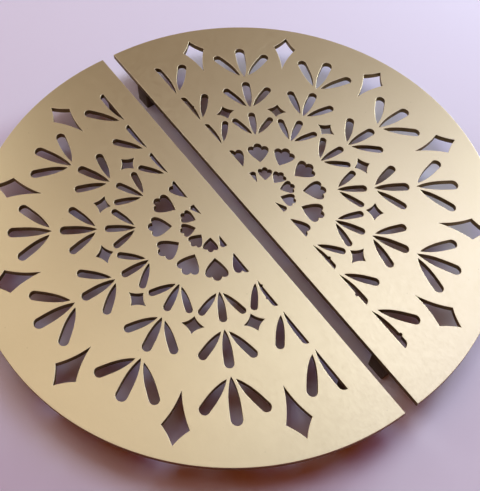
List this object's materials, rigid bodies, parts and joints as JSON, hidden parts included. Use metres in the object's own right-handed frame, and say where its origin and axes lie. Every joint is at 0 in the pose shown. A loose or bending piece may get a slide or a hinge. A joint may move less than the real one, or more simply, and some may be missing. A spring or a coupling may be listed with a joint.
{
  "type": "pair of half-round laser-cut metal screens",
  "caption": "Half-round flat metal screens cut with a rosette, set side by side as a split disc and held off the surface behind on square spacer blocks.",
  "frame": {"origin": "on the surface that the blocks rest on, in the middle of the gap between the two straight edges", "axes": "+X across the gap, from the left half to the right half; +Y along the straight edges; +Z from the blocks' feet to the sheets' faces"},
  "size_m": [0.514, 0.5, 0.035],
  "materials": {
    "sheet": "satin, fine grain, pale gold",
    "block": "satin",
    "stud": "plain"
  },
  "bodies": {
    "root": {"left_sheet": "sheet", "left_upper_block": "block", "left_upper_stud": "stud", "left_lower_block": "block", "left_lower_stud": "stud", "right_sheet": "sheet", "right_upper_block": "block", "right_upper_stud": "stud", "right_lower_block": "block", "right_lower_stud": "stud"}
  },
  "joints": []
}
